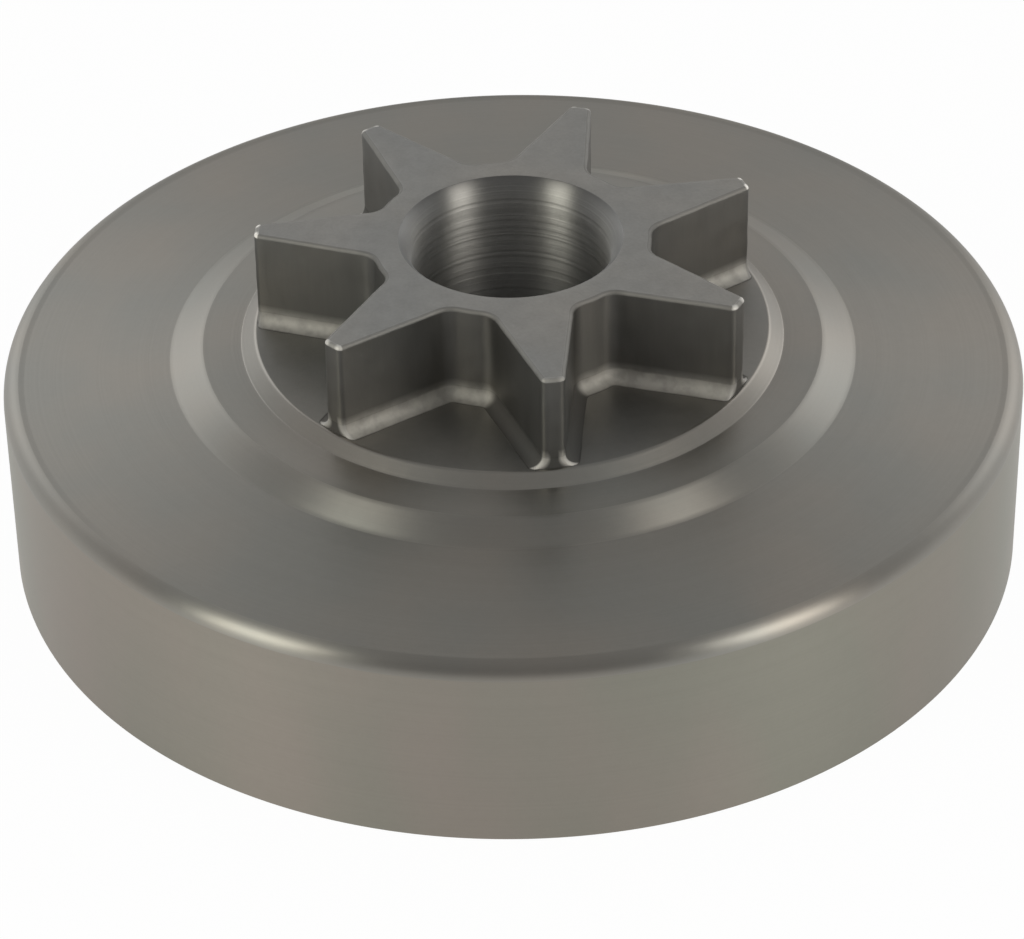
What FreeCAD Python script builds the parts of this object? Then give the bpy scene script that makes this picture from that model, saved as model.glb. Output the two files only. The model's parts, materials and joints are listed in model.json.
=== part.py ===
import FreeCAD, Part
import math
import os
from enum import IntEnum
from Sketcher import Constraint

# Clutch drum with a spur sprocket: a turned cup with seven teeth on its web, all one piece of steel.
# The rim lies in the XY plane, the open side looks down, the axis is Z and one tooth points along -Y.

NODE = "sprocket_drum"
SHEET = "sizes"

# Driving dimensions, in millimetres, degrees and counts
SIZES = {
    "drum_diameter": 72.0,
    "drum_depth": 14.4,
    "drum_wall": 2.6,
    "web_thickness": 2.4,
    "web_rise": 0.7,
    "outer_edge_radius": 1.1,
    "edge_flat": 0.4,
    "inner_corner_chamfer": 1.0,
    "rim_lead_in": 0.5,
    "rim_edge_break": 0.2,
    "shoulder_run": 2.0,
    "shoulder_rise": 0.95,
    "shoulder_blend": 1.0,
    "land_width": 2.9,
    "land_rise": 0.2,
    "seat_rise": 0.75,
    "seat_edge_chamfer": 0.5,
    "tooth_count": 7,
    "tip_diameter": 35.8,
    "tip_land": 1.5,
    "flank_angle": 13.8,
    "tooth_height": 7.2,
    "gullet_radius": 1.4,
    "foot_radius": 0.9,
    "seat_margin": 0.7,
    "tooth_edge_break": 0.25,
    "bore_diameter": 14.0,
    "hub_wall": 2.8,
    "bore_lead_in": 0.8,
    "bore_exit_chamfer": 0.5,
}


def cell(alias):
    return f"{SHEET}.{alias}"


# Radii worked out from the driving dimensions, as expressions
AXIS = "0"
DRUM_RADIUS = f"({cell('drum_diameter')} / 2)"
FRICTION_RADIUS = f"({DRUM_RADIUS} - {cell('drum_wall')})"
WEB_RADIUS = f"({DRUM_RADIUS} - {cell('outer_edge_radius')} - {cell('edge_flat')})"
BORE_RADIUS = f"({cell('bore_diameter')} / 2)"
ROOT_RADIUS = f"({BORE_RADIUS} + {cell('hub_wall')})"
TIP_RADIUS = f"({cell('tip_diameter')} / 2)"
FLOOR_RADIUS = f"({TIP_RADIUS} + {cell('seat_margin')})"
SEAT_RADIUS = f"({FLOOR_RADIUS} + {cell('seat_edge_chamfer')})"
SHOULDER_TOP_RADIUS = f"({SEAT_RADIUS} + {cell('land_width')})"
SHOULDER_FOOT_RADIUS = f"({SHOULDER_TOP_RADIUS} + {cell('shoulder_run')})"

# Heights above the rim, each step standing on the one below it
RIM = "0"
WEB_EDGE = cell("drum_depth")
WEB_UNDERSIDE = f"({WEB_EDGE} - {cell('web_thickness')})"
SHOULDER_FOOT = f"({WEB_EDGE} + {cell('web_rise')})"
SHOULDER_TOP = f"({SHOULDER_FOOT} + {cell('shoulder_rise')})"
SEAT_FOOT = f"({SHOULDER_TOP} + {cell('land_rise')})"
FLOOR = f"({SEAT_FOOT} + {cell('seat_rise')})"
STAR_TOP = f"({FLOOR} + {cell('tooth_height')})"

# The tooth's half width in line with the axis, and the distance of its flanks from the axis
FLANK_ANGLE = f"({cell('flank_angle')} * 1 deg)"
HALF_LAND = f"({cell('tip_land')} / 2)"
ROOT_HALF_WIDTH = f"({HALF_LAND} + sqrt({TIP_RADIUS} ^ 2 - {HALF_LAND} ^ 2) * tan({FLANK_ANGLE}))"
FLANK_OFFSET = f"({ROOT_HALF_WIDTH} * cos({FLANK_ANGLE}))"

# A gullet's corner fillets stay inside one full round from flank to flank, and the foot fillet inside them
CORNER_SHARE = 0.9
FLANK_SINE = f"sin({FLANK_ANGLE} + 180 deg / {cell('tooth_count')})"
FULL_ROUND = f"(({ROOT_RADIUS} * {FLANK_SINE} - {FLANK_OFFSET}) / (1 - {FLANK_SINE}))"
GULLET_FILLET = f"min({cell('gullet_radius')}; {CORNER_SHARE} * {FULL_ROUND})"
FOOT_FILLET = f"min({cell('foot_radius')}; {CORNER_SHARE} * {GULLET_FILLET})"

FULL_TURN = 360.0
EDGE_TOLERANCE = 1e-4


class CurvePoint(IntEnum):
    """A sketch's codes for the points of its curves."""
    START = 1
    END = 2
    CENTRE = 3


class SketchAxis(IntEnum):
    """A sketch's codes for its own axes. The first one starts at the origin."""
    ACROSS = -1
    UP = -2


ORIGIN = (SketchAxis.ACROSS, CurvePoint.START)


def make_sheet(doc):
    sheet = doc.addObject("Spreadsheet::Sheet", SHEET)
    for row, (alias, value) in enumerate(SIZES.items(), start=1):
        sheet.set(f"A{row}", alias)
        sheet.set(f"B{row}", str(value))
        sheet.setAlias(f"B{row}", alias)
    doc.recompute()
    return sheet


def value_of(sheet, expression):
    """The plain number that an expression gives."""
    return float(sheet.evalExpression(expression))


def origin_feature(body, role):
    for feature in body.Origin.OriginFeatures:
        if feature.Role == role:
            return feature
    raise RuntimeError(f"the body has no {role}")


def new_sketch(body, name, plane):
    sketch = body.newObject("Sketcher::SketchObject", name)
    sketch.AttachmentSupport = [(origin_feature(body, plane), "")]
    sketch.MapMode = "FlatFace"
    return sketch


def bind(sketch, constraint, name, expression):
    index = sketch.addConstraint(constraint)
    sketch.renameConstraint(index, name)
    sketch.setExpression(f"Constraints.{name}", expression)


def join(sketch, curve, next_curve):
    sketch.addConstraint(Constraint("Coincident", curve, CurvePoint.END, next_curve, CurvePoint.START))


def half_section(body, sheet):
    """The drum's section from the axis outwards: cup, sloping web, shoulder, seat and hub."""
    corners = {
        "web_underside_centre": (AXIS, WEB_UNDERSIDE),
        "friction_wall_top": (FRICTION_RADIUS, WEB_UNDERSIDE),
        "rim_inside": (FRICTION_RADIUS, RIM),
        "rim_outside": (DRUM_RADIUS, RIM),
        "drum_edge": (DRUM_RADIUS, WEB_EDGE),
        "web_foot": (WEB_RADIUS, WEB_EDGE),
        "shoulder_foot": (SHOULDER_FOOT_RADIUS, SHOULDER_FOOT),
        "shoulder_top": (SHOULDER_TOP_RADIUS, SHOULDER_TOP),
        "seat_foot": (SEAT_RADIUS, SEAT_FOOT),
        "seat_edge": (SEAT_RADIUS, FLOOR),
        "hub_foot": (ROOT_RADIUS, FLOOR),
        "hub_edge": (ROOT_RADIUS, STAR_TOP),
        "hub_centre": (AXIS, STAR_TOP),
    }
    sketch = new_sketch(body, "drum_half_section", "XZ_Plane")
    points = [
        FreeCAD.Vector(value_of(sheet, radius), value_of(sheet, height), 0)
        for radius, height in corners.values()
    ]
    count = len(points)
    for index, (name, (radius, height)) in enumerate(corners.items()):
        point = points[index]
        line = sketch.addGeometry(Part.LineSegment(point, points[(index + 1) % count]))
        corner = (line, CurvePoint.START)
        bind(sketch, Constraint("DistanceX", *ORIGIN, *corner, point.x), f"{name}_radius", radius)
        bind(sketch, Constraint("DistanceY", *ORIGIN, *corner, point.y), f"{name}_height", height)
    for line in range(count):
        join(sketch, line, (line + 1) % count)
    return sketch


def tooth_outline(body, sheet):
    """One tooth from the axis to its tip land, with straight flanks that close in outwards."""
    sketch = new_sketch(body, "tooth_outline", "XY_Plane")
    sketch.setExpression("AttachmentOffset.Base.z", FLOOR)
    tip_radius = value_of(sheet, TIP_RADIUS)
    half_land = value_of(sheet, HALF_LAND)
    half_root = value_of(sheet, ROOT_HALF_WIDTH)
    tip_reach = math.sqrt(tip_radius ** 2 - half_land ** 2)
    left_root = FreeCAD.Vector(-half_root, 0, 0)
    right_root = FreeCAD.Vector(half_root, 0, 0)
    left_tip = FreeCAD.Vector(-half_land, -tip_reach, 0)
    right_tip = FreeCAD.Vector(half_land, -tip_reach, 0)
    tip_middle = FreeCAD.Vector(0, -tip_radius, 0)
    left_flank = sketch.addGeometry(Part.LineSegment(left_root, left_tip))
    tip_arc = sketch.addGeometry(Part.Arc(left_tip, tip_middle, right_tip))
    right_flank = sketch.addGeometry(Part.LineSegment(right_tip, right_root))
    root_line = sketch.addGeometry(Part.LineSegment(right_root, left_root))
    outline = [left_flank, tip_arc, right_flank, root_line]
    for side, next_side in zip(outline, outline[1:] + outline[:1]):
        join(sketch, side, next_side)
    sketch.addConstraint(Constraint("Coincident", tip_arc, CurvePoint.CENTRE, *ORIGIN))
    sketch.addConstraint(Constraint("PointOnObject", left_flank, CurvePoint.START, SketchAxis.ACROSS))
    for curve in (root_line, tip_arc):
        ends = (curve, CurvePoint.START, curve, CurvePoint.END)
        sketch.addConstraint(Constraint("Symmetric", *ends, SketchAxis.UP))
    tip_ends = (tip_arc, CurvePoint.START, tip_arc, CurvePoint.END)
    bind(sketch, Constraint("Radius", tip_arc, tip_radius), "tip_radius", TIP_RADIUS)
    bind(sketch, Constraint("DistanceX", *tip_ends, 2 * half_land), "tip_land", cell("tip_land"))
    bind(sketch, Constraint("DistanceX", *ORIGIN, root_line, CurvePoint.START, half_root),
         "root_half_width", ROOT_HALF_WIDTH)
    return sketch


def add_feature(body, kind, name, **properties):
    feature = body.newObject(f"PartDesign::{kind}", name)
    for key, value in properties.items():
        setattr(feature, key, value)
    body.Tip = feature
    return feature


def recomputed(feature):
    feature.Document.recompute()
    return feature


def edge_names(feature, wanted):
    """Names of the edges of a feature's shape that answer a test."""
    edges = feature.Shape.Edges
    return [f"Edge{number}" for number, edge in enumerate(edges, start=1) if wanted(edge)]


def near(first, second):
    return abs(first - second) < EDGE_TOLERANCE


def places(edge):
    """Distance from the axis and height at the start, the middle and the end of an edge."""
    first, last = edge.FirstParameter, edge.LastParameter
    points = [edge.valueAt(parameter) for parameter in (first, (first + last) / 2, last)]
    return [(math.hypot(point.x, point.y), point.z) for point in points]


def ring_edge(radius, height):
    """A test for the full circle round the axis at this radius and height."""
    def wanted(edge):
        return edge.isClosed() and all(near(r, radius) and near(z, height) for r, z in places(edge))
    return wanted


def upright_edge(radius):
    """A test for the upright edges at this distance from the axis."""
    def wanted(edge):
        heights = [z for r, z in places(edge)]
        return all(near(r, radius) for r, z in places(edge)) and not near(heights[0], heights[-1])
    return wanted


def outline_edge(height, outer_radius):
    """A test for the star's outline at this height, inside a radius."""
    def wanted(edge):
        return all(near(z, height) and r < outer_radius for r, z in places(edge))
    return wanted


def gullet_foot_edge(height, tip_radius):
    """A test for the foot of the flanks and gullets at this height, which leaves out the tip lands."""
    def wanted(edge):
        middle_radius = places(edge)[1][0]
        return all(near(z, height) for r, z in places(edge)) and middle_radius < tip_radius - EDGE_TOLERANCE
    return wanted


def dress(body, kind, name, wanted, size_property, expression):
    """A fillet or chamfer on the wanted edges of the body as it stands."""
    base = recomputed(body.Tip)
    names = edge_names(base, wanted)
    if not names:
        raise RuntimeError(f"{name} finds no edge")
    feature = add_feature(body, kind, name, Base=(base, names))
    feature.setExpression(size_property, expression)
    return recomputed(feature)


def turn_drum(body, sheet):
    """The cup and its stepped web, turned about Z, with every corner eased."""
    section = half_section(body, sheet)
    add_feature(body, "Revolution", "turned_drum", Profile=section, ReferenceAxis=(section, ["V_Axis"]),
                Angle=FULL_TURN)
    eased_corners = {
        "drum_edge_round": ("Fillet", DRUM_RADIUS, WEB_EDGE, cell("outer_edge_radius")),
        "inner_corner_chamfer": ("Chamfer", FRICTION_RADIUS, WEB_UNDERSIDE, cell("inner_corner_chamfer")),
        "shoulder_foot_blend": ("Fillet", SHOULDER_FOOT_RADIUS, SHOULDER_FOOT, cell("shoulder_blend")),
        "shoulder_top_blend": ("Fillet", SHOULDER_TOP_RADIUS, SHOULDER_TOP, cell("shoulder_blend")),
        "seat_edge_chamfer": ("Chamfer", SEAT_RADIUS, FLOOR, cell("seat_edge_chamfer")),
        "rim_edge_break": ("Chamfer", DRUM_RADIUS, RIM, cell("rim_edge_break")),
        "rim_lead_in": ("Chamfer", FRICTION_RADIUS, RIM, cell("rim_lead_in")),
    }
    for name, (kind, radius, height, size) in eased_corners.items():
        wanted = ring_edge(value_of(sheet, radius), value_of(sheet, height))
        dress(body, kind, name, wanted, "Radius" if kind == "Fillet" else "Size", size)


def raise_teeth(body, sheet):
    """The star: one tooth repeated round the hub, rounded in the gullets, at the foot and along the top."""
    tooth = add_feature(body, "Pad", "tooth", Profile=tooth_outline(body, sheet))
    tooth.setExpression("Length", cell("tooth_height"))
    ring = add_feature(body, "PolarPattern", "tooth_ring", Originals=[tooth], Angle=FULL_TURN,
                       Axis=(origin_feature(body, "Z_Axis"), [""]))
    ring.setExpression("Occurrences", cell("tooth_count"))
    star_radius = value_of(sheet, TIP_RADIUS) + EDGE_TOLERANCE
    hub_corners = upright_edge(value_of(sheet, ROOT_RADIUS))
    dress(body, "Fillet", "gullet_fillets", hub_corners, "Radius", GULLET_FILLET)
    foot = gullet_foot_edge(value_of(sheet, FLOOR), value_of(sheet, TIP_RADIUS))
    dress(body, "Fillet", "star_foot_fillet", foot, "Radius", FOOT_FILLET)
    top = outline_edge(value_of(sheet, STAR_TOP), star_radius)
    dress(body, "Chamfer", "star_edge_break", top, "Size", cell("tooth_edge_break"))


def cut_bore(body, sheet):
    """The bearing bore through hub and web, with a lead-in at each end."""
    sketch = new_sketch(body, "bore_circle", "XY_Plane")
    bore_radius = value_of(sheet, BORE_RADIUS)
    circle = sketch.addGeometry(Part.Circle(FreeCAD.Vector(), FreeCAD.Vector(0, 0, 1), bore_radius))
    sketch.addConstraint(Constraint("Coincident", circle, CurvePoint.CENTRE, *ORIGIN))
    bind(sketch, Constraint("Radius", circle, bore_radius), "bore_radius", BORE_RADIUS)
    solid_volume = recomputed(body.Tip).Shape.Volume
    bore = add_feature(body, "Pocket", "bearing_bore", Profile=sketch, Type="ThroughAll", Reversed=True)
    if recomputed(bore).Shape.Volume >= solid_volume:
        raise RuntimeError("the bore cut nothing")
    dress(body, "Chamfer", "bore_lead_in", ring_edge(bore_radius, value_of(sheet, STAR_TOP)),
          "Size", cell("bore_lead_in"))
    dress(body, "Chamfer", "bore_exit", ring_edge(bore_radius, value_of(sheet, WEB_UNDERSIDE)),
          "Size", cell("bore_exit_chamfer"))


def check_document(doc):
    for item in doc.Objects:
        if "Invalid" in item.State or "Error" in item.State:
            raise RuntimeError(f"{item.Label} failed: {item.State}")


def write_step(body):
    shape = body.Shape
    if shape.isNull() or not shape.isValid() or len(shape.Solids) != 1:
        raise RuntimeError(f"{body.Label} is not one valid solid")
    os.makedirs("parts", exist_ok=True)
    shape.exportStep(f"parts/{body.Label}.step")
    box = shape.optimalBoundingBox()
    extents = f"{box.XLength:.2f} x {box.YLength:.2f} x {box.ZLength:.2f} mm"
    print(f"{body.Label}: {extents}, {shape.Volume:.0f} mm3")


def main():
    doc = FreeCAD.newDocument("clutch_drum")
    sheet = make_sheet(doc)
    body = doc.addObject("PartDesign::Body", "drum_body")
    body.Label = NODE
    turn_drum(body, sheet)
    raise_teeth(body, sheet)
    cut_bore(body, sheet)
    doc.recompute()
    check_document(doc)
    write_step(body)


main()
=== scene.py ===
import json
import math
from collections import namedtuple

import bpy
from mathutils import Matrix, Vector, noise


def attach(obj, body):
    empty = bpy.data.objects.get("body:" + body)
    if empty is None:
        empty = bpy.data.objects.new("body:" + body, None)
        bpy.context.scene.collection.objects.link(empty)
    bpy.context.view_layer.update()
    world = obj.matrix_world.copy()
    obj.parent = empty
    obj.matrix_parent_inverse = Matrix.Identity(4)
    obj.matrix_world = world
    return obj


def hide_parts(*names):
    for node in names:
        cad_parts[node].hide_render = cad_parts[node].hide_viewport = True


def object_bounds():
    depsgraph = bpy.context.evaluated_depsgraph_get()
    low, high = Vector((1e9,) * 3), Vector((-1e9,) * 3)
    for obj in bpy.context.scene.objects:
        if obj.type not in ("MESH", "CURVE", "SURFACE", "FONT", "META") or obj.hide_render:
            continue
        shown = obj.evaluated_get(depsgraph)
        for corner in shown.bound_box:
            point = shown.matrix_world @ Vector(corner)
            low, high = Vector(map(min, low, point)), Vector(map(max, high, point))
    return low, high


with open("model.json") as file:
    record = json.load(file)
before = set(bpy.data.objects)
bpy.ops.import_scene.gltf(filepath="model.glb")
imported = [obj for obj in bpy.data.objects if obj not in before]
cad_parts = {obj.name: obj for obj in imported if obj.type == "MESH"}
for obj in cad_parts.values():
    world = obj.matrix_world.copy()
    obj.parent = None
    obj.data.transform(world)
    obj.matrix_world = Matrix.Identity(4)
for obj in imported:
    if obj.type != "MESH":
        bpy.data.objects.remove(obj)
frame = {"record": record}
cad_low, cad_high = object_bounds()

# Clutch drum with a spur sprocket: one piece of turned steel on a white table, under two soft lamps.
# Sizes of the drum are in millimetres, and everything placed in the scene is in metres.
MM = 0.001
NODE = "sprocket_drum"

MOUNTS = {mount["name"]: mount for mount in frame["record"]["mounts"]}


def bore_radius(name):
    return MOUNTS[name]["dims"]["r_mm"]


def bore_end(name, side):
    """Height of a bore's upper or lower end, for a side of 1 or -1."""
    return MOUNTS[name]["pos_m"][2] / MM + side * MOUNTS[name]["dims"]["length_mm"] / 2


# Sizes that the frame gives
DRUM_RADIUS = cad_high.x / MM
STAR_TOP = cad_high.z / MM
BORE_RADIUS = bore_radius("bearing_bore")
BORE_LOW = bore_end("bearing_bore", -1)
BORE_HIGH = bore_end("bearing_bore", 1)
FRICTION_RADIUS = bore_radius("friction_wall")
FRICTION_LOW = bore_end("friction_wall", -1)
FRICTION_HIGH = bore_end("friction_wall", 1)

# The drum's own steps, from the bore to the rim
BORE_EXIT = 0.5
WEB_THICKNESS = 2.4
WEB_RISE = 0.7
EDGE_ROUND = 1.1
EDGE_FLAT = 0.4
SHOULDER_RUN = 2.0
SHOULDER_RISE = 0.95
SHOULDER_BLEND = 1.0
LAND_WIDTH = 2.9
LAND_RISE = 0.2
SEAT_MARGIN = 1.2
SEAT_RISE = 0.75
SEAT_ROUND = 0.3
SEAT_LEAN = 1.0
RIM_BREAK = 0.06

# The star's outline
TOOTH_COUNT = 7
TIP_RADIUS = 17.9
TIP_LAND = 1.5
TIP_CORNER = 0.4
FLANK_ANGLE = math.radians(13.8)
HUB_WALL = 2.8
GULLET_ROUND = 1.4
FOOT_ROUND = 0.9
STAR_EDGE_ROUND = 0.25
TIP_BARE = 0.36

# Heights and radii that follow from them
BORE_LEAD_IN = STAR_TOP - BORE_HIGH
WEB_UNDERSIDE = BORE_LOW - BORE_EXIT
WEB_EDGE = WEB_UNDERSIDE + WEB_THICKNESS
SHOULDER_FOOT = WEB_EDGE + WEB_RISE
SHOULDER_TOP = SHOULDER_FOOT + SHOULDER_RISE
SEAT_FOOT = SHOULDER_TOP + LAND_RISE
FLOOR = SEAT_FOOT + SEAT_RISE
ROOT_RADIUS = BORE_RADIUS + HUB_WALL
SEAT_RADIUS = TIP_RADIUS + SEAT_MARGIN
SHOULDER_TOP_RADIUS = SEAT_RADIUS + LAND_WIDTH
SHOULDER_FOOT_RADIUS = SHOULDER_TOP_RADIUS + SHOULDER_RUN
WEB_RADIUS = DRUM_RADIUS - EDGE_ROUND - EDGE_FLAT

# Rounding of the turned corners, and the height at which the bore starts to open into its lead-in
RIM_EASE = 0.03
FINE_EASE = 0.1
INNER_EASE = 0.3
LEAD_EASE = 2.4
LEAD_IN_ANGLE = math.radians(45.0)
LIP_START = BORE_HIGH - LEAD_EASE * math.tan(LEAD_IN_ANGLE / 2)

# Fineness of the mesh
TIP_STEPS = 2
CORNER_STEPS = 4
FLANK_STEPS = 16
GULLET_STEPS = 7
HUB_STEPS = 3
WALL_STEPS = 12
SMALL_ARC_STEP = math.radians(15.0)
LARGE_ARC_STEP = math.radians(6.0)
LARGE_EASE = 0.5
SUPPORT = 0.08
SHORTEST_HELD = 2.5 * SUPPORT

# Turning ripples left in the bore, and the slightly uneven faces of the star
RIPPLE_PITCH = 0.75
RIPPLE_DEPTH = 0.02
RIPPLE_STEPS = 4
RIPPLE_LEAST = 0.5
DEPTH_LANE = 7.0
UNEVEN_DEPTH = 0.03
UNEVEN_PER_MM = 0.8

# Camera and picture
PHOTO_WIDTH = 1024
LENS_IN_PIXELS = 4349.91
SENSOR_WIDTH = 36.0
CAMERA_DISTANCE = 316.32 * MM
CAMERA_ELEVATION = math.radians(35.889)
CAMERA_ROLL = math.radians(1.002)
CAMERA_TURN = math.radians(-8.557)
CAMERA_ACROSS = -0.199 * MM
CAMERA_UP = 3.344 * MM
CLIP_START = 3.0 * MM

Corner = namedtuple("Corner", "place height ease finish arc_finish wear", defaults=[None, None])
Ring = namedtuple("Ring", "outline place height finish edge wear", defaults=[0.0, None])


def heading(vector):
    return math.atan2(vector.y, vector.x)


def on_circle(centre, radius, angle):
    return centre + radius * Vector((math.cos(angle), math.sin(angle)))


def shares(steps):
    """Even shares from 0 up to, but without, 1."""
    return [step / steps for step in range(steps)]


def half_tooth(offset):
    """The outline from the middle of a tip to the middle of a gullet, moved out by an offset.

    The tip only moves inwards, so that the foot's fillet ends flush with the tip's land.
    """
    half_land = TIP_LAND / 2
    tip_reach = math.sqrt(TIP_RADIUS ** 2 - half_land ** 2)
    flank = (half_land + tip_reach * math.tan(FLANK_ANGLE)) * math.cos(FLANK_ANGLE)
    outward = Vector((math.cos(FLANK_ANGLE), -math.sin(FLANK_ANGLE)))
    sideways = Vector((math.sin(FLANK_ANGLE), math.cos(FLANK_ANGLE)))
    axis = Vector((0.0, 0.0))

    def beside_flank(radius, aside):
        return math.sqrt(radius ** 2 - aside ** 2) * outward + aside * sideways

    tip_offset = min(offset, 0.0)
    corner_round = TIP_CORNER + tip_offset
    gullet_round = GULLET_ROUND - offset
    corner = beside_flank(TIP_RADIUS - TIP_CORNER, flank + offset - corner_round)
    gullet = beside_flank(ROOT_RADIUS + GULLET_ROUND, flank + GULLET_ROUND)
    tip_end = heading(corner)
    flank_side = heading(sideways)
    gullet_start = flank_side - math.pi
    gullet_end = heading(gullet) - math.pi
    hub_start = heading(gullet)
    hub_middle = math.pi / TOOTH_COUNT
    flank_out = on_circle(corner, corner_round, flank_side)
    flank_in = on_circle(gullet, gullet_round, gullet_start)
    points = [on_circle(axis, TIP_RADIUS + tip_offset, share * tip_end) for share in shares(TIP_STEPS)]
    points += [
        on_circle(corner, corner_round, tip_end + share * (flank_side - tip_end))
        for share in shares(CORNER_STEPS)
    ]
    points += [flank_out.lerp(flank_in, share) for share in shares(FLANK_STEPS)]
    points += [
        on_circle(gullet, gullet_round, gullet_start + share * (gullet_end - gullet_start))
        for share in shares(GULLET_STEPS)
    ]
    points += [
        on_circle(axis, ROOT_RADIUS + offset, hub_start + share * (hub_middle - hub_start))
        for share in shares(HUB_STEPS)
    ]
    points.append(on_circle(axis, ROOT_RADIUS + offset, hub_middle))
    return points


HALF_PARTS = (
    ["tip"] * TIP_STEPS + ["corner"] * CORNER_STEPS + ["flank"] * FLANK_STEPS
    + ["gullet"] * GULLET_STEPS + ["hub"] * (HUB_STEPS + 1)
)
SPOKE_PARTS = TOOTH_COUNT * (HALF_PARTS + HALF_PARTS[-2:0:-1])


def star_outline(offset):
    """All points round the star, from the tooth that points along -Y."""
    half = [(point.length, heading(point)) for point in half_tooth(offset)]
    pitch = 2 * math.pi / TOOTH_COUNT
    points = []
    for tooth in range(TOOTH_COUNT):
        start = tooth * pitch - math.pi / 2
        points += [(radius, start + angle) for radius, angle in half]
        points += [(radius, start + pitch - angle) for radius, angle in reversed(half[1:-1])]
    return [Vector((radius * math.cos(angle), radius * math.sin(angle))) for radius, angle in points]


SPOKES = [point.normalized() for point in star_outline(0.0)]

# Painted highlight: how bright the star's top edge is painted along each part of its outline
TOP_EDGE_SHEEN = {"tip": 0.5, "corner": 0.7, "flank": 0.15, "gullet": 0.0, "hub": 0.0}
RIM_RUBBED = 0.3
# How much wear and painted sheen a rounded edge carries where it starts, and how fast it grows and fades
# along it
HALF_WEAR_AND_SHEEN = 0.7
WEAR_AND_SHEEN_RAMP = 8.0
# Painted glint: how bright a glint each tooth's tip gets at its top and at its foot, from the front tooth
# round to the right
TOP_GLINT = (0.0, 0.5, 1.0, 0.3, 0.6, 1.0, 0.5)
FOOT_GLINT = (0.6, 0.4, 0.3, 0.2, 0.2, 0.3, 0.5)
# Painted highlight: the foot is painted bright on the faces that look to the front, between these shares
FACING_LOW = 0.45
FACING_HIGH = 0.8
Wear = namedtuple("Wear", "rubbed worn")


def tip_glint(glint_teeth):
    """Painted glints round the star's outline that only touch the corners of the tips."""
    per_turn = TOOTH_COUNT / (2 * math.pi)
    teeth = [round((heading(spoke) + math.pi / 2) * per_turn) % TOOTH_COUNT for spoke in SPOKES]
    return [glint_teeth[tooth] * (part == "corner") for tooth, part in zip(teeth, SPOKE_PARTS)]


def front_facing():
    """How far each face round the star looks to the front, from 0 to 1."""
    front = Vector((math.sin(CAMERA_TURN), -math.cos(CAMERA_TURN)))
    shares_facing = []
    for point, behind, part in zip(star_outline(0.0), star_outline(-SUPPORT), SPOKE_PARTS):
        facing = (point - behind).normalized().dot(front)
        share = (facing - FACING_LOW) / (FACING_HIGH - FACING_LOW)
        shares_facing.append(min(max(share, 0.0), 1.0) * (part not in ("tip", "corner")))
    return shares_facing


# The star's top edge and foot get painted highlights and painted glints; only the rim's corners carry
# real wear
TOP_SHEEN = Wear([TOP_EDGE_SHEEN[part] for part in SPOKE_PARTS], tip_glint(TOP_GLINT))
FOOT_SHEEN = Wear(front_facing(), tip_glint(FOOT_GLINT))
RIM_WEAR = Wear([RIM_RUBBED] * len(SPOKES), [0.0] * len(SPOKES))
NO_WEAR = Wear([0.0] * len(SPOKES), [0.0] * len(SPOKES))


def circle_outline(radius):
    return [radius * spoke for spoke in SPOKES]


def eased(before, corner, after):
    """Points along the arc that rounds a corner, and how strongly each of them carries wear, painted
    sheen and painted glints.
    """
    point = Vector((corner.place, corner.height))
    towards = (point - Vector((before.place, before.height))).normalized()
    away = (Vector((after.place, after.height)) - point).normalized()
    turn = towards.angle_signed(away)
    arc_step = LARGE_ARC_STEP if corner.ease > LARGE_EASE else SMALL_ARC_STEP
    steps = max(2, math.ceil(abs(turn) / arc_step))
    start = point - towards * corner.ease * math.tan(abs(turn) / 2)
    side = Vector((-towards.y, towards.x)) * math.copysign(1.0, -turn)
    centre = start + side * corner.ease
    first = heading(start - centre)
    arc = []
    for step in range(steps + 1):
        share = step / steps
        worn = min(1.0, HALF_WEAR_AND_SHEEN + WEAR_AND_SHEEN_RAMP * share, WEAR_AND_SHEEN_RAMP * (1.0 - share))
        arc.append((on_circle(centre, corner.ease, first - share * turn), worn))
    return arc


def run_rings(outline, corners, fill=None):
    """Rings along a run of corners, each one rounded, with straight stretches held flat at their ends."""
    rings = [Ring(outline, corners[0].place, corners[0].height, corners[0].finish)]
    for before, corner, after in zip(corners, corners[1:], corners[2:]):
        arc = eased(before, corner, after)
        last = Vector((rings[-1].place, rings[-1].height))
        stretch = arc[0][0] - last
        if stretch.length > SHORTEST_HELD:
            inset = stretch.normalized() * SUPPORT
            inner = [last + inset, arc[0][0] - inset]
            if before.finish in (fill or {}):
                inner[1:1] = fill[before.finish](inner[0], inner[1])
            rings += [Ring(outline, point.x, point.y, before.finish) for point in inner]
            rings[-1] = rings[-1]._replace(edge=HALF_WEAR_AND_SHEEN, wear=corner.wear)
        for number, (point, worn) in enumerate(arc):
            finish = corner.arc_finish or (before.finish if 2 * number < len(arc) else corner.finish)
            rings.append(Ring(outline, point.x, point.y, finish, worn, corner.wear))
        rings[-1] = rings[-1]._replace(finish=corner.finish)
    last = corners[-1]
    rings.append(Ring(outline, last.place, last.height, last.finish))
    return rings


def bore_ripples(low, high):
    """Ripples of the boring tool, uneven in depth, between two points of the bore's wall."""
    count = round((high.y - low.y) / RIPPLE_PITCH * RIPPLE_STEPS)
    points = []
    for step in range(1, count):
        height = low.y + (high.y - low.y) * step / count
        wander = noise.noise(Vector((height, 0.0, 0.0)))
        wave = math.sin(2 * math.pi * (height / RIPPLE_PITCH + wander))
        depth = RIPPLE_DEPTH * (RIPPLE_LEAST + abs(noise.noise(Vector((height / 2, DEPTH_LANE, 0.0)))))
        points.append(Vector((low.x - depth * (1 + wave) / 2, height)))
    return points


def even_steps(start, end):
    return [start.lerp(end, step / WALL_STEPS) for step in range(1, WALL_STEPS)]


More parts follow.
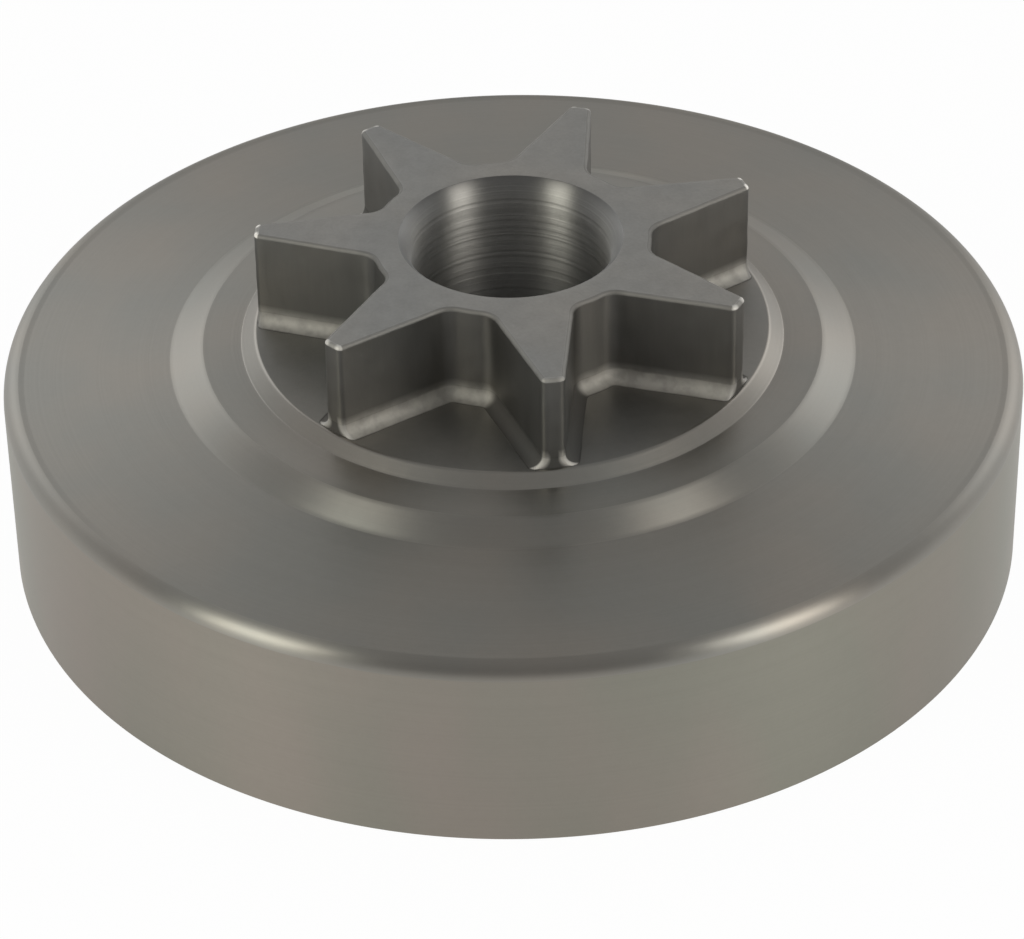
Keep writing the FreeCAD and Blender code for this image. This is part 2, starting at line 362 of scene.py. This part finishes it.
def section_rings():
    """Every ring of the closed section: bore, star, web, wall, rim, friction wall and underside."""
    bore = [
        Corner(BORE_RADIUS + BORE_EXIT + SUPPORT, WEB_UNDERSIDE, 0.0, "underside"),
        Corner(BORE_RADIUS + BORE_EXIT, WEB_UNDERSIDE, FINE_EASE, "bore"),
        Corner(BORE_RADIUS, BORE_LOW, FINE_EASE, "bore"),
        Corner(BORE_RADIUS, BORE_HIGH, LEAD_EASE, "bore", "bore"),
        Corner(BORE_RADIUS + BORE_LEAD_IN, STAR_TOP, FINE_EASE, "star_top", "bore"),
        Corner(BORE_RADIUS + 2 * BORE_LEAD_IN, STAR_TOP, 0.0, "star_top"),
    ]
    star = [
        Corner(-TIP_BARE, STAR_TOP, 0.0, "star_top"),
        Corner(0.0, STAR_TOP, STAR_EDGE_ROUND, "star_side", "star_edge", TOP_SHEEN),
        Corner(0.0, FLOOR, FOOT_ROUND, "star_floor", "star_foot", FOOT_SHEEN),
        Corner(FOOT_ROUND + SUPPORT / 4, FLOOR, 0.0, "star_floor"),
    ]
    drum = [
        Corner(TIP_RADIUS + SUPPORT, FLOOR, 0.0, "star_floor"),
        Corner(SEAT_RADIUS - SEAT_LEAN, FLOOR, SEAT_ROUND, "seat", "seat"),
        Corner(SEAT_RADIUS, SEAT_FOOT, FINE_EASE, "land"),
        Corner(SHOULDER_TOP_RADIUS, SHOULDER_TOP, SHOULDER_BLEND, "shoulder", "shoulder"),
        Corner(SHOULDER_FOOT_RADIUS, SHOULDER_FOOT, SHOULDER_BLEND, "web", "shoulder"),
        Corner(WEB_RADIUS, WEB_EDGE, EDGE_ROUND, "web"),
        Corner(DRUM_RADIUS, WEB_EDGE, EDGE_ROUND, "wall", "edge"),
        Corner(DRUM_RADIUS, RIM_BREAK, RIM_EASE, "wall"),
        Corner(DRUM_RADIUS - RIM_BREAK, 0.0, RIM_EASE, "friction_wall"),
        Corner(FRICTION_RADIUS + FRICTION_LOW, 0.0, FINE_EASE, "friction_wall", None, RIM_WEAR),
        Corner(FRICTION_RADIUS, FRICTION_LOW, FINE_EASE, "friction_wall", None, RIM_WEAR),
        Corner(FRICTION_RADIUS, FRICTION_HIGH, INNER_EASE, "friction_wall"),
        Corner(FRICTION_RADIUS - WEB_UNDERSIDE + FRICTION_HIGH, WEB_UNDERSIDE, INNER_EASE, "underside"),
        Corner(BORE_RADIUS + BORE_EXIT + 2 * SUPPORT, WEB_UNDERSIDE, 0.0, "underside"),
    ]
    return (
        run_rings(circle_outline, bore, {"bore": bore_ripples})
        + run_rings(star_outline, star, {"star_side": even_steps})
        + run_rings(circle_outline, drum)
    )


def ring_points(ring):
    """The points of one ring, with the star's own faces left a little uneven."""
    flat = ring.outline(ring.place)
    if ring.outline is not star_outline or ring.finish == "star_top":
        return [Vector((point.x, point.y, ring.height)) for point in flat]
    inner = ring.outline(ring.place - SUPPORT)
    points = []
    for point, behind in zip(flat, inner):
        place = Vector((point.x, point.y, ring.height))
        depth = UNEVEN_DEPTH * noise.noise(place * UNEVEN_PER_MM)
        moved = point + (point - behind).normalized() * depth
        points.append(Vector((moved.x, moved.y, ring.height)))
    return points


def build_drum(finishes):
    """One closed mesh of quads, ring by ring round the section, with a finish on every face."""
    rings = section_rings()
    count = len(SPOKES)
    vertices = [point * MM for ring in rings for point in ring_points(ring)]
    faces = []
    face_finish = []
    slots = list(finishes)
    for number, ring in enumerate(rings):
        here = number * count
        there = (number + 1) % len(rings) * count
        for spoke in range(count):
            beside = (spoke + 1) % count
            faces.append((here + spoke, there + spoke, there + beside, here + beside))
            face_finish.append(slots.index(ring.finish))
    mesh = bpy.data.meshes.new("turned_drum")
    mesh.from_pydata(vertices, [], faces)
    mesh.polygons.foreach_set("material_index", face_finish)
    mesh.shade_smooth()
    for kind in Wear._fields:
        wear_and_sheen_rings = [(ring.edge, getattr(ring.wear or NO_WEAR, kind)) for ring in rings]
        strengths = [edge * share for edge, ring_shares in wear_and_sheen_rings for share in ring_shares]
        mesh.attributes.new(kind, "FLOAT", "POINT").data.foreach_set("value", strengths)
    for material in finishes.values():
        mesh.materials.append(material)
    drum = bpy.data.objects.new("turned_drum", mesh)
    bpy.context.scene.collection.objects.link(drum)
    return drum


def add_node(tree, kind, sockets=None, **settings):
    """A node with its settings, and each named socket either linked or set."""
    node = tree.nodes.new(kind)
    for name, value in settings.items():
        setattr(node, name, value)
    for name, source in (sockets or {}).items():
        if isinstance(source, bpy.types.NodeSocket):
            tree.links.new(source, node.inputs[name])
        else:
            node.inputs[name].default_value = source
    return node


def math_node(tree, operation, first, second=0.0, third=0.0):
    node = add_node(tree, "ShaderNodeMath", {0: first, 1: second, 2: third}, operation=operation)
    return node.outputs[0]


def mix_colour(tree, factor, first, second, blend="MIX"):
    sockets = {"Factor": factor, 6: first, 7: second}
    node = add_node(tree, "ShaderNodeMix", sockets, data_type="RGBA", blend_type=blend)
    return node.outputs[2]


def place_in_mm(tree):
    """Place on the part in millimetres."""
    coordinates = add_node(tree, "ShaderNodeTexCoord")
    scaled = add_node(tree, "ShaderNodeVectorMath", {0: coordinates.outputs["Object"], "Scale": 1 / MM},
                      operation="SCALE")
    return scaled.outputs["Vector"]


def mean(tree, first, second):
    return math_node(tree, "MULTIPLY", math_node(tree, "ADD", first, second), 0.5)


VALUE = "NodeSocketFloat"
COLOUR = "NodeSocketColor"
DIRECTION = "NodeSocketVector"


def new_group(name, inputs, outputs):
    """An empty shader group with named sockets, its input node and its output node."""
    tree = bpy.data.node_groups.new(name, "ShaderNodeTree")
    for label, kind in inputs.items():
        tree.interface.new_socket(label, in_out="INPUT", socket_type=kind)
    for label, kind in outputs.items():
        tree.interface.new_socket(label, in_out="OUTPUT", socket_type=kind)
    return tree, add_node(tree, "NodeGroupInput").outputs, add_node(tree, "NodeGroupOutput")


def finish_group(tree, output, results):
    for name, source in results.items():
        tree.links.new(source, output.inputs[name])
    return tree


# Broad bands between the fine turning marks
BROAD_PER_FINE = 0.13
BROAD_HEIGHT = 0.6
FINE_DETAIL = 2.0
BROAD_DETAIL = 1.0


def turning_marks_group():
    """Fine rings left by the tool's feed, with broader bands between them."""
    tree, given, output = new_group(
        "turning_marks", {"Feed": VALUE, "Per mm": VALUE}, {"Height": VALUE, "Shade": VALUE},
    )

    def bands(feed, detail):
        sockets = {"W": feed, "Scale": 1.0, "Detail": detail}
        return add_node(tree, "ShaderNodeTexNoise", sockets, noise_dimensions="1D").outputs[0]

    fine_feed = math_node(tree, "MULTIPLY", given["Feed"], given["Per mm"])
    fine = bands(fine_feed, FINE_DETAIL)
    broad = bands(math_node(tree, "MULTIPLY", fine_feed, BROAD_PER_FINE), BROAD_DETAIL)
    height = math_node(tree, "MULTIPLY_ADD", broad, BROAD_HEIGHT, fine)
    return finish_group(tree, output, {"Height": height, "Shade": mean(tree, fine, broad)})


def stretched_place(tree, stretch):
    """Place on the part in millimetres, drawn out along one direction."""
    sockets = {0: place_in_mm(tree), 1: stretch}
    return add_node(tree, "ShaderNodeVectorMath", sockets, operation="MULTIPLY").outputs["Vector"]


# Grain of a forged face, and the larger blotches in it
GRAIN_DETAIL = 4.0
GRAIN_ROUGHNESS = 0.6
BLOTCH_PER_GRAIN = 0.2
BLOTCH_DETAIL = 2.0


def metal_grain_group():
    """Small irregular grain of a forged face, drawn out along one direction."""
    tree, given, output = new_group(
        "metal_grain", {"Per mm": VALUE, "Stretch": DIRECTION}, {"Height": VALUE, "Shade": VALUE},
    )
    place = stretched_place(tree, given["Stretch"])
    grain = add_node(tree, "ShaderNodeTexNoise", {
        "Vector": place, "Scale": given["Per mm"], "Detail": GRAIN_DETAIL, "Roughness": GRAIN_ROUGHNESS,
    }).outputs[0]
    blotch_scale = math_node(tree, "MULTIPLY", given["Per mm"], BLOTCH_PER_GRAIN)
    blotch = add_node(tree, "ShaderNodeTexNoise", {
        "Vector": place, "Scale": blotch_scale, "Detail": BLOTCH_DETAIL,
    }).outputs[0]
    return finish_group(tree, output, {"Height": grain, "Shade": mean(tree, grain, blotch)})


# Patches of warm and cool steel, and the noise values between which one turns into the other
PATCH_DETAIL = 2.0
PATCH_LOW = 0.35
PATCH_HIGH = 0.65


def steel_tone_group():
    """Steel that drifts between a warm and a cool grey in soft patches."""
    tree, given, output = new_group(
        "steel_tone",
        {"Warm": COLOUR, "Cool": COLOUR, "Per mm": VALUE, "Stretch": DIRECTION},
        {"Colour": COLOUR},
    )
    place = stretched_place(tree, given["Stretch"])
    patches = add_node(tree, "ShaderNodeTexNoise", {
        "Vector": place, "Scale": given["Per mm"], "Detail": PATCH_DETAIL,
    })
    spread = add_node(tree, "ShaderNodeMapRange", {
        "Value": patches.outputs[0], "From Min": PATCH_LOW, "From Max": PATCH_HIGH,
    })
    colour = mix_colour(tree, spread.outputs[0], given["Warm"], given["Cool"])
    return finish_group(tree, output, {"Colour": colour})


# Broken patches of wear and painted sheen, and how much of it stays between them
SHEEN_AND_WEAR_PER_MM = 1.2
SHEEN_AND_WEAR_DETAIL = 4.0
SHEEN_AND_WEAR_LOW = 0.35
SHEEN_AND_WEAR_HIGH = 0.6
SHEEN_AND_WEAR_LEAST = 0.72


def sheen_and_wear_edge_group():
    """Corners painted brighter than the faces in broken patches, as painted sheen on the star and wear on
    the rim, and painted glints at the tips.
    """
    tree, given, output = new_group(
        "sheen_and_wear_edge",
        {"Colour": COLOUR, "Rubbed": COLOUR, "Worn": COLOUR, "Amount": VALUE},
        {"Colour": COLOUR, "Mask": VALUE},
    )
    patches = add_node(tree, "ShaderNodeTexNoise", {
        "Vector": place_in_mm(tree), "Scale": SHEEN_AND_WEAR_PER_MM, "Detail": SHEEN_AND_WEAR_DETAIL,
    })
    broken = add_node(tree, "ShaderNodeMapRange", {
        "Value": patches.outputs[0], "From Min": SHEEN_AND_WEAR_LOW, "From Max": SHEEN_AND_WEAR_HIGH,
        "To Min": SHEEN_AND_WEAR_LEAST,
    })
    rubbed = add_node(tree, "ShaderNodeAttribute", attribute_name="rubbed").outputs["Fac"]
    worn = add_node(tree, "ShaderNodeAttribute", attribute_name="worn").outputs["Fac"]
    sheen_and_wear_patches = math_node(tree, "MULTIPLY", rubbed, broken.outputs[0])
    mask = math_node(tree, "MULTIPLY", sheen_and_wear_patches, given["Amount"])
    colour = mix_colour(tree, mask, given["Colour"], given["Rubbed"])
    bare = mix_colour(tree, worn, colour, given["Worn"])
    return finish_group(tree, output, {"Colour": bare, "Mask": mask})


# A finish: two greys, gloss, marks and grain, the painted shade deep in a bore and at its lip, and the
# steel of wear and painted sheen and of painted glints
Finish = namedtuple(
    "Finish",
    "warm cool patch_stretch roughness roughness_spread anisotropic feed marks_per_mm mark_depth"
    " grain_per_mm grain_depth grain_stretch shade deep_shade lip_shade rubbed rubbed_steel worn_steel",
)
EVEN = (1.0, 1.0, 1.0)
UPRIGHT = (1.0, 1.0, 0.12)
TALL = (1.0, 1.0, 0.4)
TURNED = Finish(
    warm=(0.3, 0.28, 0.25, 1.0), cool=(0.272, 0.268, 0.247, 1.0), patch_stretch=EVEN,
    roughness=0.4, roughness_spread=0.06, anisotropic=0.45,
    feed="radius", marks_per_mm=5.0, mark_depth=0.003,
    grain_per_mm=8.0, grain_depth=0.001, grain_stretch=EVEN,
    shade=0.12, deep_shade=0.0, lip_shade=0.0,
    rubbed=0.4, rubbed_steel=(0.52, 0.51, 0.48, 1.0), worn_steel=(0.95, 0.93, 0.88, 1.0),
)
FORGED = TURNED._replace(
    warm=(0.28, 0.27, 0.25, 1.0), cool=(0.25, 0.25, 0.24, 1.0),
    roughness=0.46, roughness_spread=0.14, anisotropic=0.0, marks_per_mm=0.0,
    grain_per_mm=3.0, grain_depth=0.008, shade=0.3, rubbed=0.9,
)
FINISHES = {
    # Painted shade darkens the bore towards its far end and towards its lip
    "bore": TURNED._replace(
        warm=(0.52, 0.512, 0.49, 1.0), cool=(0.5, 0.5, 0.484, 1.0),
        roughness=0.45, roughness_spread=0.1, anisotropic=0.9, feed="height", marks_per_mm=2.0,
        mark_depth=0.06, grain_per_mm=6.0, shade=0.3, deep_shade=0.45, lip_shade=0.6,
    ),
    "star_top": FORGED._replace(
        warm=(0.305, 0.293, 0.27, 1.0), cool=(0.275, 0.274, 0.262, 1.0),
        roughness=0.38, grain_per_mm=4.0, grain_depth=0.014, shade=0.45,
    ),
    # The flanks and their rounded top edge get darker greys than the star's top: painted shade
    "star_side": FORGED._replace(
        warm=(0.195, 0.188, 0.174, 1.0), cool=(0.175, 0.175, 0.167, 1.0),
        roughness=0.5, grain_stretch=UPRIGHT,
    ),
    "star_edge": FORGED._replace(
        warm=(0.26, 0.25, 0.232, 1.0), cool=(0.235, 0.234, 0.223, 1.0), roughness=0.65,
    ),
    # The foot's fillet gets a dark grey as painted shade, and bright steel as painted highlight where it
    # faces the front
    "star_foot": FORGED._replace(
        warm=(0.16, 0.153, 0.142, 1.0), cool=(0.145, 0.145, 0.138, 1.0),
        roughness=0.72, grain_per_mm=2.5, rubbed_steel=(0.56, 0.544, 0.506, 1.0),
    ),
    "star_floor": FORGED._replace(
        warm=(0.27, 0.26, 0.24, 1.0), cool=(0.24, 0.24, 0.23, 1.0), grain_per_mm=2.5,
    ),
    "seat": TURNED._replace(roughness=0.3, anisotropic=0.0),
    "land": TURNED._replace(
        warm=(0.285, 0.266, 0.238, 1.0), cool=(0.258, 0.255, 0.235, 1.0),
        roughness=0.38, anisotropic=0.0,
    ),
    "shoulder": TURNED._replace(
        warm=(0.345, 0.322, 0.288, 1.0), cool=(0.313, 0.309, 0.284, 1.0), anisotropic=0.9,
    ),
    "web": TURNED,
    "edge": TURNED._replace(
        warm=(0.33, 0.308, 0.275, 1.0), cool=(0.3, 0.295, 0.272, 1.0),
        roughness=0.395, anisotropic=0.9,
    ),
    "wall": TURNED._replace(
        warm=(0.318, 0.286, 0.252, 1.0), cool=(0.286, 0.28, 0.24, 1.0), patch_stretch=TALL,
        roughness=0.42, anisotropic=0.7, feed="height",
    ),
    "friction_wall": TURNED._replace(roughness=0.28, feed="height", marks_per_mm=6.0),
    "underside": TURNED._replace(roughness=0.34, marks_per_mm=3.0, mark_depth=0.006, shade=0.2),
}
ACROSS_THE_MARKS = 0.25
PATCHES_PER_MM = 0.08
SHEEN_AND_WEAR_GRAIN_DEPTH = 0.01


def feed_distance(tree, feed):
    """How far along its feed the tool was: the distance from the axis, or the height."""
    parts = add_node(tree, "ShaderNodeSeparateXYZ", {0: place_in_mm(tree)}).outputs
    if feed == "height":
        return parts["Z"]
    square = math_node(tree, "MULTIPLY", parts["X"], parts["X"])
    return math_node(tree, "SQRT", math_node(tree, "MULTIPLY_ADD", parts["Y"], parts["Y"], square))


def bore_painted_shade(tree, finish):
    """Painted shade: share of the steel's brightness left deep in the bore and at its lip."""
    level = feed_distance(tree, "height")
    deep = add_node(tree, "ShaderNodeMapRange", {
        "Value": level, "From Min": BORE_LOW, "From Max": LIP_START, "To Min": 1.0 - finish.deep_shade,
    })
    lip = add_node(tree, "ShaderNodeMapRange", {
        "Value": level, "From Min": LIP_START, "From Max": STAR_TOP,
        "To Min": 1.0, "To Max": 1.0 - finish.lip_shade,
    })
    return math_node(tree, "MULTIPLY", deep.outputs[0], lip.outputs[0])


def make_finish(name, finish, groups):
    """A steel finish from the shared effects, with its own values."""
    material = bpy.data.materials.new(name)
    material.use_nodes = True
    tree = material.node_tree
    shader = tree.nodes["Principled BSDF"]

    def group(kind, sockets):
        return add_node(tree, "ShaderNodeGroup", sockets, node_tree=groups[kind]).outputs

    tone = group("steel_tone", {
        "Warm": finish.warm, "Cool": finish.cool,
        "Per mm": PATCHES_PER_MM, "Stretch": finish.patch_stretch,
    })
    marks = group("turning_marks", {
        "Feed": feed_distance(tree, finish.feed), "Per mm": finish.marks_per_mm,
    })
    grain = group("metal_grain", {"Per mm": finish.grain_per_mm, "Stretch": finish.grain_stretch})
    shade = math_node(tree, "ADD", marks["Shade"], grain["Shade"])
    darker = math_node(tree, "MULTIPLY_ADD", shade, finish.shade, 1.0 - finish.shade)
    darkest = math_node(tree, "MULTIPLY", darker, bore_painted_shade(tree, finish))
    edge = group("sheen_and_wear_edge", {
        "Colour": mix_colour(tree, 1.0, tone["Colour"], darkest, "MULTIPLY"),
        "Rubbed": finish.rubbed_steel, "Worn": finish.worn_steel, "Amount": finish.rubbed,
    })
    shade_drift = math_node(tree, "SUBTRACT", shade, 1.0)
    roughness = math_node(tree, "MULTIPLY_ADD", shade_drift, finish.roughness_spread, finish.roughness)
    mark_height = math_node(tree, "MULTIPLY", marks["Height"], finish.mark_depth)
    grain_depth = math_node(tree, "MULTIPLY_ADD", edge["Mask"], SHEEN_AND_WEAR_GRAIN_DEPTH, finish.grain_depth)
    height = math_node(tree, "MULTIPLY_ADD", grain["Height"], grain_depth, mark_height)
    bump = add_node(tree, "ShaderNodeBump", {"Height": height, "Distance": MM, "Strength": 1.0})
    tangent = add_node(tree, "ShaderNodeTangent", direction_type="RADIAL", axis="Z")
    tree.links.new(edge["Colour"], shader.inputs["Base Color"])
    tree.links.new(roughness, shader.inputs["Roughness"])
    tree.links.new(bump.outputs["Normal"], shader.inputs["Normal"])
    tree.links.new(tangent.outputs["Tangent"], shader.inputs["Tangent"])
    shader.inputs["Metallic"].default_value = 1.0
    shader.inputs["Anisotropic"].default_value = finish.anisotropic
    shader.inputs["Anisotropic Rotation"].default_value = ACROSS_THE_MARKS
    return material


def make_finishes():
    groups = {
        "turning_marks": turning_marks_group(),
        "metal_grain": metal_grain_group(),
        "steel_tone": steel_tone_group(),
        "sheen_and_wear_edge": sheen_and_wear_edge_group(),
    }
    return {name: make_finish(name, finish, groups) for name, finish in FINISHES.items()}


# The table and the two lamps, aside from the camera
TABLE_SIZE = 4.0
TABLE_GAP = 0.02 * MM
TABLE_WHITE = (0.9, 0.9, 0.9, 1.0)
BACKGROUND_WHITE = (1.0, 1.0, 1.0, 1.0)
WHITE_TO_CAMERA = 0.97
WHITE_TO_METAL = 0.6
LAMP_DISTANCE = 0.35
LAMP_ELEVATION = math.radians(31.0)
LAMP_ASIDE = math.radians(55.0)
LAMP_WIDTH = 0.13
LAMP_HEIGHT = 0.21
LAMP_BRIGHTNESS = 4.4
LEFT_LAMP_COLOUR = (1.0, 0.985, 0.88)
RIGHT_LAMP_COLOUR = (1.0, 0.965, 0.9)

# The room's grey at each height of a direction, and where its front turns into its back
ROOM_BACK = ((0.0, 0.85), (0.35, 0.62), (0.6, 0.52), (0.8, 0.4), (1.0, 0.35))
ROOM_FRONT = ((0.0, 0.35), (0.15, 0.15), (0.5, 0.15), (0.8, 0.35), (1.0, 0.38))
FRONT_END = -0.5
BACK_START = 0.3

# Pale boards behind the part: how high, how wide, how far aside from straight behind and how bright
BOARD_ELEVATION = math.radians(28.0)
BOARD_CORE = math.radians(6.0)
BOARD_REACH = math.radians(22.0)
BOARDS = ((math.radians(-30.0), 1.08), (math.radians(37.0), 1.15))


def white_share(tree):
    """How white the table looks, to the camera and in the metal, but not inside the drum."""
    path = add_node(tree, "ShaderNodeLightPath").outputs
    mirrored = math_node(tree, "MAXIMUM", path["Is Glossy Ray"], path["Is Transmission Ray"])
    in_metal = math_node(tree, "MULTIPLY", mirrored, WHITE_TO_METAL)
    share = math_node(tree, "MULTIPLY_ADD", path["Is Camera Ray"], WHITE_TO_CAMERA, in_metal)
    place = add_node(tree, "ShaderNodeTexCoord").outputs["Object"]
    distance = add_node(tree, "ShaderNodeVectorMath", {0: place}, operation="LENGTH").outputs["Value"]
    outside = math_node(tree, "GREATER_THAN", distance, FRICTION_RADIUS * MM)
    return math_node(tree, "MULTIPLY", share, outside)


def make_table():
    """A white table that reaches past the picture and keeps a faint shadow."""
    mesh = bpy.data.meshes.new("table")
    half = TABLE_SIZE / 2
    corners = [(-half, -half), (half, -half), (half, half), (-half, half)]
    mesh.from_pydata([(x, y, -TABLE_GAP) for x, y in corners], [], [(0, 1, 2, 3)])
    table = bpy.data.objects.new("table", mesh)
    bpy.context.scene.collection.objects.link(table)
    material = bpy.data.materials.new("white_table")
    material.use_nodes = True
    tree = material.node_tree
    tree.nodes.clear()
    diffuse = add_node(tree, "ShaderNodeBsdfDiffuse", {"Color": TABLE_WHITE})
    glow = add_node(tree, "ShaderNodeEmission", {"Color": BACKGROUND_WHITE, "Strength": 1.0})
    mixed = add_node(tree, "ShaderNodeMixShader",
                     {0: white_share(tree), 1: diffuse.outputs[0], 2: glow.outputs[0]})
    add_node(tree, "ShaderNodeOutputMaterial", {"Surface": mixed.outputs[0]})
    mesh.materials.append(material)


def ramp(tree, value, stops):
    node = add_node(tree, "ShaderNodeValToRGB", {"Fac": value})
    elements = node.color_ramp.elements
    while len(elements) < len(stops):
        elements.new(1.0)
    for element, (place, grey) in zip(elements, stops):
        element.position = place
        element.color = (grey, grey, grey, 1.0)
    return node.outputs["Color"]


def board_light(tree, direction, aside, brightness):
    """The soft light of one pale board behind the part."""
    level = math.cos(BOARD_ELEVATION)
    centre = (math.sin(aside) * level, math.cos(aside) * level, math.sin(BOARD_ELEVATION))
    towards = {0: direction, 1: centre}
    nearness = add_node(tree, "ShaderNodeVectorMath", towards, operation="DOT_PRODUCT").outputs["Value"]
    spread = {
        "Value": nearness, "To Max": brightness,
        "From Min": math.cos(BOARD_REACH), "From Max": math.cos(BOARD_CORE),
    }
    return add_node(tree, "ShaderNodeMapRange", spread, interpolation_type="SMOOTHSTEP").outputs[0]


def make_room():
    """A room that is pale behind the part, darker on the camera's side, with a board on either side."""
    world = bpy.data.worlds.new("studio")
    bpy.context.scene.world = world
    world.use_nodes = True
    tree = world.node_tree
    tree.nodes.clear()
    direction = add_node(tree, "ShaderNodeTexCoord").outputs["Generated"]
    turned = add_node(tree, "ShaderNodeVectorRotate", {"Vector": direction, "Angle": -CAMERA_TURN},
                      rotation_type="Z_AXIS").outputs["Vector"]
    parts = add_node(tree, "ShaderNodeSeparateXYZ", {0: turned}).outputs
    depth = {"Value": parts["Y"], "From Min": FRONT_END, "From Max": BACK_START}
    behind = add_node(tree, "ShaderNodeMapRange", depth, interpolation_type="SMOOTHSTEP").outputs[0]
    front_grey = ramp(tree, parts["Z"], ROOM_FRONT)
    back_grey = ramp(tree, parts["Z"], ROOM_BACK)
    room = mix_colour(tree, behind, front_grey, back_grey)
    for aside, brightness in BOARDS:
        room = mix_colour(tree, 1.0, room, board_light(tree, turned, aside, brightness), "ADD")
    camera = add_node(tree, "ShaderNodeLightPath").outputs["Is Camera Ray"]
    colour = mix_colour(tree, camera, room, BACKGROUND_WHITE)
    background = add_node(tree, "ShaderNodeBackground", {"Color": colour, "Strength": 1.0})
    add_node(tree, "ShaderNodeOutputWorld", {"Surface": background.outputs[0]})


def make_lamp(name, aside, colour):
    """A softbox that looks at the part from above, aside from the camera by an angle."""
    data = bpy.data.lights.new(name, "AREA")
    data.shape = "RECTANGLE"
    data.size = LAMP_WIDTH
    data.size_y = LAMP_HEIGHT
    data.energy = LAMP_BRIGHTNESS * math.pi * LAMP_WIDTH * LAMP_HEIGHT
    data.color = colour
    lamp = bpy.data.objects.new(name, data)
    bpy.context.scene.collection.objects.link(lamp)
    bearing = CAMERA_TURN + aside
    level = math.cos(LAMP_ELEVATION)
    away = Vector((math.sin(bearing) * level, -math.cos(bearing) * level, math.sin(LAMP_ELEVATION)))
    lamp.location = away * LAMP_DISTANCE
    lamp.rotation_euler = away.to_track_quat("Z", "Y").to_euler()


def make_camera():
    """The photograph's viewpoint."""
    data = bpy.data.cameras.new("camera")
    data.sensor_width = SENSOR_WIDTH
    data.lens = LENS_IN_PIXELS / PHOTO_WIDTH * SENSOR_WIDTH
    data.clip_start = CLIP_START
    right = Vector((1.0, 0.0, 0.0))
    up = Vector((0.0, math.sin(CAMERA_ELEVATION), math.cos(CAMERA_ELEVATION)))
    back = right.cross(up)
    place = CAMERA_ACROSS * right + CAMERA_UP * up + CAMERA_DISTANCE * back
    rolled_right = math.cos(CAMERA_ROLL) * right - math.sin(CAMERA_ROLL) * up
    rolled_up = math.sin(CAMERA_ROLL) * right + math.cos(CAMERA_ROLL) * up
    matrix = Matrix((rolled_right, rolled_up, back)).transposed().to_4x4()
    matrix.translation = place
    camera = bpy.data.objects.new("camera", data)
    bpy.context.scene.collection.objects.link(camera)
    camera.matrix_world = Matrix.Rotation(CAMERA_TURN, 4, "Z") @ matrix
    bpy.context.scene.camera = camera


bpy.context.scene.view_settings.view_transform = "Standard"
make_camera()
make_table()
make_room()
make_lamp("left_softbox", -LAMP_ASIDE, LEFT_LAMP_COLOUR)
make_lamp("right_softbox", LAMP_ASIDE, RIGHT_LAMP_COLOUR)

drum = build_drum(make_finishes())
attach(drum, "root")
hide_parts(NODE)
